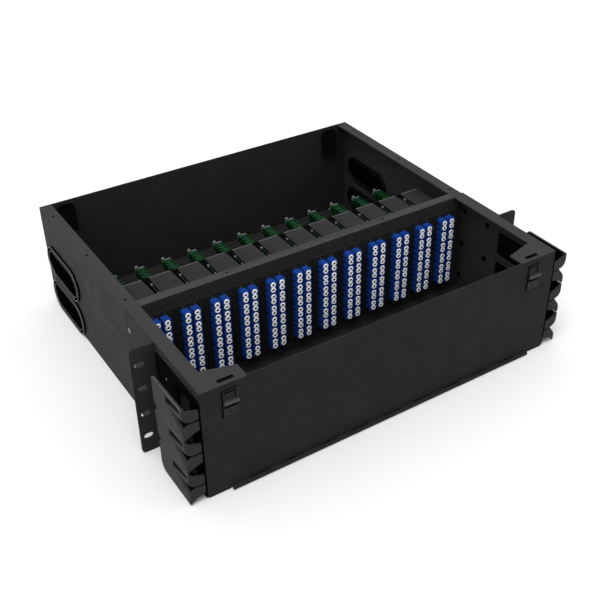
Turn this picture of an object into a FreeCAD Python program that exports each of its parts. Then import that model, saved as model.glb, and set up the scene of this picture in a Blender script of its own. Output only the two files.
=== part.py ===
import FreeCAD, Part
import math
import os

# Fibre patch chassis for a 19 inch rack, three rack units high.
# Millimetres. X runs to the right, Y to the rear and Z up.
# The origin is the middle of the rack slot pattern, on the rear faces of the rack ears.

# Folded sheet body
rack_panel_width = 482.6
ear_reach = 26.1
body_height = 129.0
body_depth = 400.0
sheet = 1.5
top_flange_width = 14.0
cover_hole_radius = 1.7
cover_hole_inset = 6.2
cover_hole_from_front = 170.5
cover_hole_pitch = 100.0
cover_hole_rows = 3

# Front corner gussets with their latch slots
gusset_length = 48.9
gusset_depth_outside = 28.5
gusset_depth_inside = 19.0
latch_slot_length = 16.5
latch_slot_width = 4.4

# Rack ears
ear_setback = 92.4
ear_thickness = 2.0
ear_corner_radius = 4.5
ear_flange_depth = 64.0
rack_slot_inset = 8.75
rack_slot_spacing_outer = 88.9
rack_slot_spacing_inner = 31.75
rack_slot_length = 10.1
rack_slot_height = 6.8
ear_screw_first = 14.9
ear_screw_pitch = 40.4
ear_screw_spacing_z = 44.75
ear_screw_head_radius = 3.2
ear_screw_head_height = 1.1
ear_screw_radius = 1.9
ear_screw_reach = 0.7
wall_screw_hole_radius = 3.2

# Doors and their piano hinges
door_gap = 0.8
door_top_gap = 0.5
door_bottom_lift = 0.5
door_corner_radius = 2.0
hinge_end_inset = 25.2
knuckle_count = 19
knuckle_radius = 2.2
knuckle_end_gap = 0.4
hinge_pin_radius = 1.0
hinge_running_clearance = 0.06
hinge_axis_ahead = 2.5
hinge_axis_height = 2.3
hinge_sheet = 1.0
hinge_leaf_depth = 18.0
hinge_clearance = 0.3

# Slide latches, one near each top corner of each door
latch_inset = 29.7
latch_top_inset = 6.6
bezel_width = 17.4
bezel_height = 31.2
bezel_thickness = 0.9
bezel_corner_radius = 1.0
latch_box_width = 19.0
latch_neck_width = 15.6
latch_wall = 1.4
bolt_width = 14.2
bolt_thickness = 2.6
bolt_centre_depth = 6.3
bolt_foot_drop = 30.0
bolt_rest_gap = 0.9
latch_clearance = 0.3
grip_width = 13.0
grip_drop = 26.0
grip_height = 14.2
grip_reach = 4.0
grip_ledge_height = 1.5
grip_scoop_sag = 2.6
latch_rivet_radius = 1.5
latch_rivet_drop = 32.5
latch_rivet_depth = 0.5

# Bulkhead
bulkhead_from_front = 151.7
bulkhead_thickness = 2.0
bulkhead_flange_depth = 11.0
bulkhead_sill = 18.0
bulkhead_header = 15.8
bulkhead_side_margin = 12.0
bulkhead_cover_hole_x = 100.6

# Cassettes
cassette_pitch = 33.55
cassette_gap = 0.5
cassette_fit = 0.3
housing_width = 32.0
housing_rear_width = 25.2
housing_taper_start = 189.0
housing_taper_end = 222.0
housing_high_end = 217.5
housing_rear_end = 262.0
housing_rear_height = 81.0
faceplate_thickness = 2.4
faceplate_overlap = 2.0
rib_thickness = 0.5
rib_height = 2.4
rib_length = 30.0
rib_from_top = 16.0
rib_count = 3
rib_pitch = 9.0
housing_wall = 1.6

# Duplex adapters and their dust caps
adapter_columns = 2
adapter_rows = 6
adapter_column_spacing = 10.9
adapter_row_spacing = 14.95
adapter_width = 9.6
adapter_height = 13.2
adapter_front = 142.6
adapter_depth = 15.0
adapter_fit = 0.2
port_spacing = 6.25
cap_radius = 3.25
cap_thickness = 2.8

# Multi-fibre adapters at the rear of each cassette
mpo_width = 12.4
mpo_height = 9.8
mpo_length = 24.0
mpo_offset_x = 6.2
mpo_top = 80.0
mpo_spacing = 26.0
mpo_cap_length = 6.0
mpo_cap_margin = 0.8
mpo_tab_width = 2.6
mpo_tab_height = 3.0
mpo_count = 2

# Cable windows in the side walls and the bend guides outside them
guide_count = 3
guide_pitch = 39.6
guide_height = 37.6
guide_bottom = 2.2
guide_reach = 18.8
guide_wall = 2.0
guide_length = 60.5
guide_lip_gap = 2.2
guide_top_radius = 5.0
guide_bottom_radius = 10.0
guide_lip_inner_height = 23.0
guide_lip_sag = 1.2
guide_slot_height = 2.6
guide_scoop_length = 31.0
scoop_upper_radius = 9.0
scoop_lower_radius = 13.0
scoop_overshoot = 3.0
scoop_vanish_height = 6.0
scoop_rear_size = 3.0
scoop_front_over = 0.5
guide_bead_height = 1.8
guide_bead_extra = 1.2
guide_relief_front = 3.0
guide_relief_rear = 32.0
guide_relief_top = 16.8
guide_relief_front_low = 12.4
guide_relief_rear_low = 6.0
guide_relief_rear_top = 14.0
guide_base_thickness = 1.8
guide_base_start = 3.2
guide_base_end = 88.0
guide_web_start = 11.0
guide_web_height = 14.0
window_front = 17.0
window_rear = 86.0
window_passage_rear = 43.0
window_height = 31.0
window_drop = 4.7
window_radius = 4.0
window_floor_margin = 6.0
window_lining = 1.2

# Oval cable ports behind the cassettes, each closed by a stepped grommet with a raised rim
port_rear_inset = 7.5
port_length = 94.6
port_height = 41.6
port_pitch_z = 46.0
port_bottom = 0.8
port_rim = 1.6
port_rim_thickness = 2.4
port_rim_width = 5.0
port_dish_depth = 1.6
port_step_width = 3.0
port_step_depth = 0.7
port_step_count = 2
port_count = 2

# Places worked out from the sizes above
body_width = rack_panel_width - 2 * ear_reach
half_width = body_width / 2
z_bottom = -body_height / 2
z_top = body_height / 2
y_front = -ear_setback
y_rear = y_front + body_depth
y_middle = (y_front + y_rear) / 2
wall_start = y_front + sheet + door_gap
wall_end = y_rear - sheet - door_gap
inner_half = half_width - sheet
opening_low = z_bottom + bulkhead_sill
opening_high = z_top - bulkhead_header
cassette_z = (opening_low + opening_high) / 2
cassette_count = int(2 * (inner_half - bulkhead_side_margin) / cassette_pitch)
rack_slot_x = rack_panel_width / 2 - rack_slot_inset
gusset_inner_x = half_width - gusset_length
latch_x = half_width - latch_inset
bezel_top = z_top - latch_top_inset
bezel_low = bezel_top - bezel_height
grip_low = z_top - grip_drop
grip_high = grip_low + grip_height
hinge_length = body_width - 2 * hinge_end_inset
port_middle_y = y_rear - port_rear_inset - port_length / 2
port_hole_length = port_length - 2 * port_rim
port_hole_height = port_height - 2 * port_rim
hinge_y = y_front - hinge_axis_ahead
hinge_z = z_bottom + hinge_axis_height
guide_centres = [z_bottom + guide_bottom + guide_height / 2 + guide_pitch * level
                 for level in range(guide_count)]
latch_travel = bolt_rest_gap + sheet
cut_over = 1.0


def box(x0, x1, y0, y1, z0, z1):
    """Block between two corners."""
    return Part.makeBox(x1 - x0, y1 - y0, z1 - z0, FreeCAD.Vector(x0, y0, z0))


def rod(radius, start, direction, length):
    """Round bar from a start point along a direction."""
    return Part.makeCylinder(radius, length, FreeCAD.Vector(*start), FreeCAD.Vector(*direction))


def prism(points, travel):
    """Straight-sided solid from a flat outline and a travel vector."""
    corners = [FreeCAD.Vector(*point) for point in points]
    wire = Part.makePolygon(corners + corners[:1])
    return Part.Face(wire).extrude(FreeCAD.Vector(*travel))


def round_edges(solid, radius, along, chosen):
    """Fillet the straight edges that run along one axis where chosen(midpoint) is true."""
    edges = []
    for edge in solid.Edges:
        middle = edge.valueAt((edge.FirstParameter + edge.LastParameter) / 2)
        run = edge.Vertexes[-1].Point - edge.Vertexes[0].Point
        if run.Length > 0 and abs(abs(run.dot(along)) - run.Length) < 1e-6 and chosen(middle):
            edges.append(edge)
    return solid.makeFillet(radius, edges)


def oval(middle, along, through, length, width, thickness):
    """Plate with round ends: centred on a point of its near face, thick along through."""
    radius = width / 2
    reach = (length - width) / 2
    plate = box(-reach, reach, -radius, radius, 0, thickness)
    ends = [rod(radius, (side * reach, 0, 0), (0, 0, 1), thickness) for side in (-1, 1)]
    plate = plate.fuse(ends).removeSplitter()
    axis_x = FreeCAD.Vector(*along)
    axis_z = FreeCAD.Vector(*through)
    turn = FreeCAD.Rotation(axis_x, axis_z.cross(axis_x), axis_z, "ZXY")
    plate.Placement = FreeCAD.Placement(FreeCAD.Vector(*middle), turn)
    return plate


def mirror_x(shape):
    """Left-hand copy of a right-hand piece."""
    return shape.mirror(FreeCAD.Vector(0, 0, 0), FreeCAD.Vector(1, 0, 0))


def mirror_y(shape):
    """Rear copy of a front piece."""
    return shape.mirror(FreeCAD.Vector(0, y_middle, 0), FreeCAD.Vector(0, 1, 0))


def solids_of(shapes):
    """Group of separate solids in one node."""
    return Part.makeCompound([solid for shape in shapes for solid in shape.Solids])


def window_boxes(margin, rear):
    """Cable window spaces in the right side wall, each grown by a margin all round."""
    windows = []
    lowest = z_bottom + sheet + window_floor_margin
    for centre in guide_centres:
        high = centre + window_height / 2 - window_drop
        low = max(high - window_height, lowest)
        block = box(
            inner_half - cut_over, half_width + guide_reach / 2,
            y_front + window_front - margin, y_front + rear + margin,
            low - margin, high + margin,
        )
        block = round_edges(block, window_radius + margin, FreeCAD.Vector(1, 0, 0),
                            lambda point: True)
        windows.append(block)
    return windows


def port_centres():
    """Height of each oval cable port."""
    return [z_bottom + port_bottom + port_height / 2 + port_pitch_z * level for level in range(port_count)]


def make_floor():
    """Floor sheet between the side walls."""
    return box(-inner_half, inner_half, wall_start, wall_end, z_bottom, z_bottom + sheet)


def make_gusset():
    """Right corner plate on the side wall, over the front door, with the latch slot through it."""
    low = z_top - sheet
    plate = prism(
        [
            (gusset_inner_x, y_front, low),
            (half_width, y_front, low),
            (half_width, y_front + gusset_depth_outside, low),
            (half_width - top_flange_width, y_front + gusset_depth_outside, low),
            (gusset_inner_x, y_front + gusset_depth_inside, low),
        ],
        (0, 0, sheet),
    )
    slot_middle = y_front + bolt_centre_depth
    slot = box(latch_x - latch_slot_length / 2, latch_x + latch_slot_length / 2,
               slot_middle - latch_slot_width / 2, slot_middle + latch_slot_width / 2,
               low - cut_over, z_top + cut_over)
    return plate.cut(slot)


def make_side_wall():
    """Right wall sheet with its top flange, cable windows, port holes and screw holes."""
    flange_start = y_front + gusset_depth_outside
    wall = box(inner_half, half_width, wall_start, wall_end, z_bottom, z_top - sheet)
    flange = box(half_width - top_flange_width, half_width, flange_start, wall_end, z_top - sheet, z_top)
    wall = wall.fuse(flange).removeSplitter()
    cuts = window_boxes(0, window_rear)
    for row in range(cover_hole_rows):
        y = y_front + cover_hole_from_front + cover_hole_pitch * row
        start = (half_width - cover_hole_inset, y, z_top - 2 * sheet)
        cuts.append(rod(cover_hole_radius, start, (0, 0, 1), 3 * sheet))
    for z in port_centres():
        cuts.append(oval((inner_half - sheet, port_middle_y, z), (0, 1, 0), (1, 0, 0),
                         port_hole_length, port_hole_height, 3 * sheet))
    for y, z in ear_screw_places():
        cuts.append(rod(wall_screw_hole_radius, (inner_half - cut_over, y, z), (1, 0, 0), 3 * sheet))
    return wall.cut(cuts)


def ear_screw_places():
    """Two columns of three screws through the ear's side flange."""
    places = []
    for column in range(2):
        for row in (-1, 0, 1):
            y = -ear_thickness + ear_screw_first + ear_screw_pitch * column
            places.append((y, ear_screw_spacing_z * row))
    return places


def make_rack_ear():
    """Right rack ear: slotted front plate with a flange along the side wall."""
    outside = rack_panel_width / 2
    plate = box(half_width, outside, -ear_thickness, 0, z_bottom, z_top)
    plate = round_edges(
        plate, ear_corner_radius, FreeCAD.Vector(0, 1, 0), lambda point: point.x > half_width + ear_reach / 2
    )
    flange = box(half_width, half_width + ear_thickness, -ear_thickness,
                 ear_flange_depth, z_bottom, z_top)
    ear = plate.fuse(flange).removeSplitter()
    cuts = []
    for z in (rack_slot_spacing_outer / 2, rack_slot_spacing_inner / 2):
        for side in (-1, 1):
            start = (rack_slot_x, -2 * ear_thickness, side * z)
            cuts.append(oval(start, (1, 0, 0), (0, 1, 0), rack_slot_length, rack_slot_height,
                             3 * ear_thickness))
    for y, z in ear_screw_places():
        cuts.append(rod(ear_screw_radius, (half_width - cut_over, y, z), (1, 0, 0), 2 * ear_thickness))
    return ear.cut(cuts)


def make_ear_screws():
    """Screws that hold one ear to the right wall."""
    screws = []
    for y, z in ear_screw_places():
        seat = half_width + ear_thickness
        tip = half_width - ear_screw_reach
        shank = rod(ear_screw_radius, (tip, y, z), (1, 0, 0), seat - tip)
        head = rod(ear_screw_head_radius, (seat, y, z), (1, 0, 0), ear_screw_head_height)
        screws.append(shank.fuse(head))
    return screws


def knuckle_span(index):
    """Left and right ends of one hinge knuckle."""
    pitch = hinge_length / knuckle_count
    left = -hinge_length / 2 + pitch * index
    return left + knuckle_end_gap / 2, left + pitch - knuckle_end_gap / 2


def make_knuckle(index):
    """Solid round knuckle; the pin hole is bored later through the whole row."""
    left, right = knuckle_span(index)
    return rod(knuckle_radius, (left, hinge_y, hinge_z), (1, 0, 0), right - left)


def hinge_bore(clearance):
    """Bore for the pin: tight in the fixed leaf and running in the door."""
    radius = hinge_pin_radius + clearance
    return rod(radius, (-hinge_length / 2 - cut_over, hinge_y, hinge_z), (1, 0, 0),
               hinge_length + 2 * cut_over)


def make_hinge_pin():
    """Pin through all the knuckles."""
    return rod(hinge_pin_radius, (-hinge_length / 2, hinge_y, hinge_z), (1, 0, 0), hinge_length)


def make_floor_leaf():
    """Fixed leaf on the floor sheet, with every second knuckle."""
    low = z_bottom + sheet
    leaf = box(-hinge_length / 2, hinge_length / 2, wall_start, wall_start + hinge_leaf_depth,
               low, low + hinge_sheet)
    pieces = []
    for index in range(1, knuckle_count, 2):
        left, right = knuckle_span(index)
        pieces.append(make_knuckle(index))
        pieces.append(box(left, right, hinge_y, wall_start, low, low + hinge_sheet))
    return leaf.fuse(pieces).cut(hinge_bore(0)).removeSplitter()


def make_door(under_gussets):
    """Front door sheet with its rolled knuckles and latch cut-outs."""
    y0 = y_front
    y1 = y_front + sheet
    door = box(-half_width, half_width, y0, y1, z_bottom + door_bottom_lift, z_top)
    door = round_edges(
        door, door_corner_radius, FreeCAD.Vector(0, 1, 0), lambda point: point.z < 0
    )
    leaf_top = z_bottom + sheet + hinge_sheet + door_top_gap
    relief = hinge_length / 2 + hinge_clearance
    cuts = [box(-relief, relief, y0 - cut_over, y1 + cut_over, z_bottom - cut_over, leaf_top)]
    if under_gussets:
        edge = gusset_inner_x - hinge_clearance
        for side in (-1, 1):
            x0, x1 = sorted((side * edge, side * (half_width + cut_over)))
            cuts.append(box(x0, x1, y0 - cut_over, y1 + cut_over,
                            z_top - sheet - door_top_gap, z_top + cut_over))
    for side in (-1, 1):
        middle = side * latch_x
        cuts.append(box(middle - latch_neck_width / 2, middle + latch_neck_width / 2,
                        y0 - cut_over, y1 + cut_over, bezel_low + latch_wall, bezel_top - latch_wall))
    door = door.cut(cuts)
    pieces = []
    for index in range(0, knuckle_count, 2):
        left, right = knuckle_span(index)
        pieces.append(make_knuckle(index))
        pieces.append(box(left, right, hinge_y, y1, hinge_z + knuckle_radius - hinge_sheet,
                          hinge_z + knuckle_radius))
    return door.fuse(pieces).cut(hinge_bore(hinge_running_clearance)).removeSplitter()


def make_latch_housing():
    """Right front latch case: outside bezel, neck through the door and box behind it."""
    low = bezel_low
    high = bezel_top
    half_bezel = bezel_width / 2
    half_neck = latch_neck_width / 2
    half_box = latch_box_width / 2
    back = y_front + bolt_centre_depth + bolt_thickness / 2 + latch_clearance
    front = back - bolt_thickness - 2 * latch_clearance
    bezel = box(latch_x - half_bezel, latch_x + half_bezel, y_front - bezel_thickness, y_front,
                low, high)
    bezel = round_edges(bezel, bezel_corner_radius, FreeCAD.Vector(0, 1, 0), lambda point: True)
    neck = box(latch_x - half_neck, latch_x + half_neck, y_front, y_front + sheet,
               low + latch_wall, high - latch_wall)
    case = box(latch_x - half_box, latch_x + half_box, y_front + sheet, back + latch_wall, low, high)
    half_plate = bolt_width / 2 + latch_clearance
    channel = box(latch_x - half_plate, latch_x + half_plate, front, back,
                  z_top - bolt_foot_drop - latch_clearance, high + cut_over)
    half_window = grip_width / 2 + latch_clearance
    window = box(latch_x - half_window, latch_x + half_window, y_front - 2 * bezel_thickness, front,
                 grip_low - latch_clearance, grip_high + latch_travel + latch_clearance)
    rivet = rod(latch_rivet_radius, (latch_x, y_front - bezel_thickness, z_top - latch_rivet_drop),
                (0, 1, 0), latch_rivet_depth)
    return bezel.fuse([neck, case]).removeSplitter().cut([channel, window, rivet])


def make_latch_slider():
    """Right front latch slider, drawn released: thumb grip, back plate and bolt in one piece."""
    plate_front = y_front + bolt_centre_depth - bolt_thickness / 2
    tip = z_top - latch_travel
    plate = box(latch_x - bolt_width / 2, latch_x + bolt_width / 2, plate_front,
                plate_front + bolt_thickness, z_top - bolt_foot_drop, tip)
    outer = y_front - grip_reach
    inner = y_front + sheet
    low = grip_low
    ledge = low + grip_ledge_height
    high = grip_high
    x0 = latch_x - grip_width / 2
    scoop_start = FreeCAD.Vector(x0, outer, ledge)
    scoop_end = FreeCAD.Vector(x0, inner, high)
    run = scoop_end - scoop_start
    across = FreeCAD.Vector(0, run.z, -run.y)
    across.normalize()
    scoop_middle = (scoop_start + scoop_end) * 0.5 + across * grip_scoop_sag
    corners = [
        FreeCAD.Vector(x0, plate_front, high),
        FreeCAD.Vector(x0, plate_front, low),
        FreeCAD.Vector(x0, outer + grip_ledge_height, low),
    ]
    edges = [
        Part.LineSegment(scoop_end, corners[0]).toShape(),
        Part.LineSegment(corners[0], corners[1]).toShape(),
        Part.LineSegment(corners[1], corners[2]).toShape(),
        Part.LineSegment(corners[2], scoop_start).toShape(),
        Part.Arc(scoop_start, scoop_middle, scoop_end).toShape(),
    ]
    grip = Part.Face(Part.Wire(edges)).extrude(FreeCAD.Vector(grip_width, 0, 0))
    return plate.fuse(grip).removeSplitter()


def make_bulkhead():
    """Upright frame across the chassis with one long opening for the cassettes."""
    y0 = y_front + bulkhead_from_front
    y1 = y0 + bulkhead_thickness
    low = z_bottom + sheet
    panel = box(-inner_half, inner_half, y0, y1, low, z_top - sheet)
    inside = half_width - top_flange_width
    neck = box(-inside, inside, y0, y1, low, z_top)
    top = box(-inside, inside, y0, y0 + bulkhead_flange_depth, z_top - sheet, z_top)
    foot = box(-inside, inside, y0, y0 + bulkhead_flange_depth, low, low + sheet)
    half_opening = cassette_count * cassette_pitch / 2
    cuts = [box(-half_opening, half_opening, y0 - cut_over, y1 + cut_over,
                opening_low, opening_high)]
    for side in (-1, 1):
        start = (side * bulkhead_cover_hole_x, (y0 + y1 + bulkhead_flange_depth) / 2, z_top - 2 * sheet)
        cuts.append(rod(cover_hole_radius, start, (0, 0, 1), 3 * sheet))
    return panel.fuse([neck, top, foot]).removeSplitter().cut(cuts)


def cassette_x(index):
    """Middle of one cassette, counted from the left."""
    return (index - (cassette_count - 1) / 2) * cassette_pitch


def adapter_places(index):
    """Centre of each duplex adapter in one cassette."""
    places = []
    for column in range(adapter_columns):
        x = cassette_x(index) + (column - (adapter_columns - 1) / 2) * adapter_column_spacing
        for row in range(adapter_rows):
            places.append((x, cassette_z + (row - (adapter_rows - 1) / 2) * adapter_row_spacing))
    return places


def make_housing(index):
    """Cassette case: face plate ahead of the bulkhead and a tapered, sloped case behind it."""
    x = cassette_x(index)
    face_y = y_front + bulkhead_from_front - faceplate_thickness
    low = opening_low + cassette_fit
    high = opening_high - cassette_fit
    half = housing_width / 2
    half_rear = housing_rear_width / 2
    plan = prism(
        [
            (x - half, face_y, low),
            (x + half, face_y, low),
            (x + half, y_front + housing_taper_start, low),
            (x + half_rear, y_front + housing_taper_end, low),
            (x + half_rear, y_front + housing_rear_end, low),
            (x - half_rear, y_front + housing_rear_end, low),
            (x - half_rear, y_front + housing_taper_end, low),
            (x - half, y_front + housing_taper_start, low),
        ],
        (0, 0, high - low),
    )
    side = prism(
        [
            (x - cassette_pitch, face_y, low),
            (x - cassette_pitch, face_y, high),
            (x - cassette_pitch, y_front + housing_high_end, high),
            (x - cassette_pitch, y_front + housing_rear_end - housing_wall, z_bottom + housing_rear_height),
            (x - cassette_pitch, y_front + housing_rear_end, z_bottom + housing_rear_height),
            (x - cassette_pitch, y_front + housing_rear_end, low),
        ],
        (2 * cassette_pitch, 0, 0),
    )
    face_half = (cassette_pitch - cassette_gap) / 2
    face = box(x - face_half, x + face_half, face_y, face_y + faceplate_thickness,
               low - faceplate_overlap, high + faceplate_overlap)
    pieces = [face]
    for rib in range(rib_count):
        z = high - rib_from_top - rib_pitch * rib
        y_start = y_front + housing_taper_start - rib_length
        pieces.append(box(x - half - rib_thickness / 2, x + half + rib_thickness / 2, y_start,
                          y_start + rib_length, z - rib_height, z))
    case = plan.common(side).fuse(pieces).removeSplitter()
    pockets = []
    reach = adapter_front + adapter_depth + adapter_fit
    for column in range(adapter_columns):
        centre = x + (column - (adapter_columns - 1) / 2) * adapter_column_spacing
        half_pocket = adapter_width / 2 + adapter_fit
        tall = ((adapter_rows - 1) * adapter_row_spacing + adapter_height) / 2 + adapter_fit
        pockets.append(box(centre - half_pocket, centre + half_pocket, face_y - cut_over, y_front + reach,
                           cassette_z - tall, cassette_z + tall))
    return case.cut(pockets)


def make_mpo_adapters(index):
    """Multi-fibre adapters with their end caps, on the rear face of one cassette."""
    x = cassette_x(index) + mpo_offset_x
    start = y_front + housing_rear_end
    end = start + mpo_length
    pieces = []
    for place in range(mpo_count):
        high = z_bottom + mpo_top - mpo_spacing * place
        body = box(x - mpo_width / 2, x + mpo_width / 2, start, end, high - mpo_height, high)
        cap_half = mpo_width / 2 - mpo_cap_margin
        cap = box(x - cap_half, x + cap_half, end, end + mpo_cap_length,
                  high - mpo_height + mpo_cap_margin, high - mpo_cap_margin)
        tab = box(x - cap_half, x - cap_half + mpo_tab_width, end + mpo_cap_length - mpo_tab_width,
                  end + mpo_cap_length, high - mpo_cap_margin, high - mpo_cap_margin + mpo_tab_height)
        pieces.append(body)
        pieces.append(cap.fuse(tab).removeSplitter())
    return pieces


def make_adapters(index):
    """Duplex adapters in the two pockets of one cassette."""
    y0 = y_front + adapter_front
    half = adapter_width / 2
    tall = adapter_height / 2
    return [box(x - half, x + half, y0, y0 + adapter_depth, z - tall, z + tall)
            for x, z in adapter_places(index)]


def make_dust_caps(index):
    """Six-sided dust caps, one on each fibre port of one cassette."""
    y1 = y_front + adapter_front
    y0 = y1 - cap_thickness
    caps = []
    for x, z in adapter_places(index):
        for side in (-1, 1):
            middle = z + side * port_spacing / 2
            ring = [(x + cap_radius * math.cos(math.radians(60 * turn)), y0,
                     middle + cap_radius * math.sin(math.radians(60 * turn))) for turn in range(6)]
            caps.append(prism(ring, (0, y1 - y0, 0)))
    return caps


def scoop(wall, stretch, centre):
    """Funnel space that leads a fibre from the guide's outer corner into its slot.

    The space is widest at the front and vanishes into the guide's side. A wall above zero gives
    the larger space that leaves that much material round the funnel.
    """
    outside = half_width + guide_reach
    upper = scoop_upper_radius - wall
    lower = scoop_lower_radius - wall
    slot = guide_slot_height / 2
    depth = guide_reach + wall
    z_up = centre + slot + scoop_upper_radius
    z_down = centre - slot - scoop_lower_radius
    x_up = outside - scoop_upper_radius
    x_down = outside - scoop_lower_radius
    out = outside + scoop_overshoot
    arc_middle = math.sqrt(0.5)

    def section(y, scale):
        anchor = FreeCAD.Vector(out, 0, centre + scoop_vanish_height)

        def place(px, pz):
            point = anchor + (FreeCAD.Vector(px, 0, pz) - anchor) * scale
            return FreeCAD.Vector(point.x, y, point.z)

        up_a = place(x_up + upper, z_up)
        up_mid = place(x_up + upper * arc_middle, z_up - upper * arc_middle)
        up_b = place(x_up, z_up - upper)
        down_a = place(x_down, z_down + lower)
        down_mid = place(x_down + lower * arc_middle, z_down + lower * arc_middle)
        down_b = place(x_down + lower, z_down)
        edges = [
            Part.LineSegment(place(out, z_up), up_a).toShape(),
            Part.Arc(up_a, up_mid, up_b).toShape(),
            Part.LineSegment(up_b, place(outside - depth, z_up - upper)).toShape(),
            Part.LineSegment(place(outside - depth, z_up - upper),
                             place(outside - depth, z_down + lower)).toShape(),
            Part.LineSegment(place(outside - depth, z_down + lower), down_a).toShape(),
            Part.Arc(down_a, down_mid, down_b).toShape(),
            Part.LineSegment(down_b, place(out, z_down)).toShape(),
            Part.LineSegment(place(out, z_down), place(out, z_up)).toShape(),
        ]
        return Part.Wire(edges)

    front = section(y_front - scoop_front_over, 1.0)
    rear = section(y_front + guide_scoop_length, stretch)
    return Part.makeLoft([front, rear], True, True)


def make_guide_horn(centre):
    """One bend guide: side fin, front lip, funnel wall and slot."""
    outside = half_width + guide_reach
    inside = half_width + guide_lip_gap
    half = guide_height / 2
    low = centre - half
    high = centre + half
    fin = box(outside - guide_wall, outside, y_front, y_front + guide_length, low, high)
    fin = round_edges(fin, guide_bottom_radius, FreeCAD.Vector(1, 0, 0),
                      lambda point: point.y > y_front + guide_wall and point.z < centre)
    fin = round_edges(fin, guide_top_radius, FreeCAD.Vector(1, 0, 0),
                      lambda point: point.y > y_front + guide_wall and point.z > centre)
    bead = box(outside - guide_wall - guide_bead_extra, outside, y_front,
               y_front + guide_length - guide_top_radius, high - guide_bead_height, high)
    tip = guide_lip_inner_height / 2
    middle_x = (inside + outside) / 2
    middle_z = (half + tip) / 2 - guide_lip_sag
    corner = [
        FreeCAD.Vector(outside, y_front, high),
        FreeCAD.Vector(middle_x, y_front, centre + middle_z),
        FreeCAD.Vector(inside, y_front, centre + tip),
        FreeCAD.Vector(inside, y_front, centre - tip),
        FreeCAD.Vector(middle_x, y_front, centre - middle_z),
        FreeCAD.Vector(outside, y_front, low),
    ]
    edges = [
        Part.Arc(corner[0], corner[1], corner[2]).toShape(),
        Part.LineSegment(corner[2], corner[3]).toShape(),
        Part.Arc(corner[3], corner[4], corner[5]).toShape(),
        Part.LineSegment(corner[5], corner[0]).toShape(),
    ]
    lip = Part.Face(Part.Wire(edges)).extrude(FreeCAD.Vector(0, guide_wall, 0))
    trough = box(inside, outside, y_front, y_front + guide_length, low, high)
    rear_size = scoop_rear_size / (guide_reach + scoop_overshoot)
    outer_size = (guide_wall + scoop_overshoot) / (guide_reach + guide_wall + scoop_overshoot)
    funnel = scoop(guide_wall, outer_size, centre).common(trough)
    relief = prism(
        [
            (outside - guide_wall - cut_over, y_front + guide_relief_front, centre + guide_relief_top),
            (outside - guide_wall - cut_over, y_front + guide_relief_front, centre + guide_relief_front_low),
            (outside - guide_wall - cut_over, y_front + guide_relief_rear, centre + guide_relief_rear_low),
            (outside - guide_wall - cut_over, y_front + guide_relief_rear, centre + guide_relief_rear_top),
        ],
        (guide_wall + 2 * cut_over, 0, 0),
    )
    slot = box(inside - cut_over, outside - scoop_upper_radius / 2, y_front - cut_over,
               y_front + guide_scoop_length / 2, centre - guide_slot_height / 2,
               centre + guide_slot_height / 2)
    horn = fin.cut(relief).fuse([lip, bead, funnel])
    return horn.cut([scoop(0, rear_size, centre), slot])


def make_cable_guide():
    """Right cable guide moulding: base plate with a passage per window, and three bend guides."""
    outside = half_width + guide_reach
    base = box(half_width, half_width + guide_base_thickness, y_front + guide_base_start,
               y_front + guide_base_end, z_bottom + guide_bottom,
               z_bottom + guide_bottom + guide_pitch * (guide_count - 1) + guide_height)
    base = base.cut(window_boxes(-window_lining, window_passage_rear))
    pieces = []
    for centre in guide_centres:
        pieces.append(make_guide_horn(centre))
        low = centre - guide_height / 2
        y = y_front + guide_web_start
        pieces.append(box(half_width, outside - guide_wall / 2, y, y + guide_wall,
                          low, low + guide_web_height))
    return base.fuse(pieces).removeSplitter()


def make_port_rims():
    """Grommets in the two cable ports of the right wall: raised rim, dished outside, stepped inside."""
    outer_face = half_width + port_rim_thickness
    rims = []
    for z in port_centres():
        rim = oval((half_width, port_middle_y, z), (0, 1, 0), (1, 0, 0),
                   port_length, port_height, port_rim_thickness)
        neck = oval((inner_half, port_middle_y, z), (0, 1, 0), (1, 0, 0),
                    port_hole_length, port_hole_height, sheet + port_rim_thickness)
        cuts = [oval((outer_face - port_dish_depth, port_middle_y, z), (0, 1, 0), (1, 0, 0),
                     port_length - 2 * port_rim_width, port_height - 2 * port_rim_width,
                     port_dish_depth + cut_over)]
        for step in range(1, port_step_count + 1):
            inset = port_step_width * step
            cuts.append(oval((inner_half - cut_over, port_middle_y, z), (0, 1, 0), (1, 0, 0),
                             port_hole_length - 2 * inset, port_hole_height - 2 * inset,
                             port_step_depth * step + cut_over))
        rims.append(rim.fuse(neck).removeSplitter().cut(cuts))
    return rims


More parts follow.
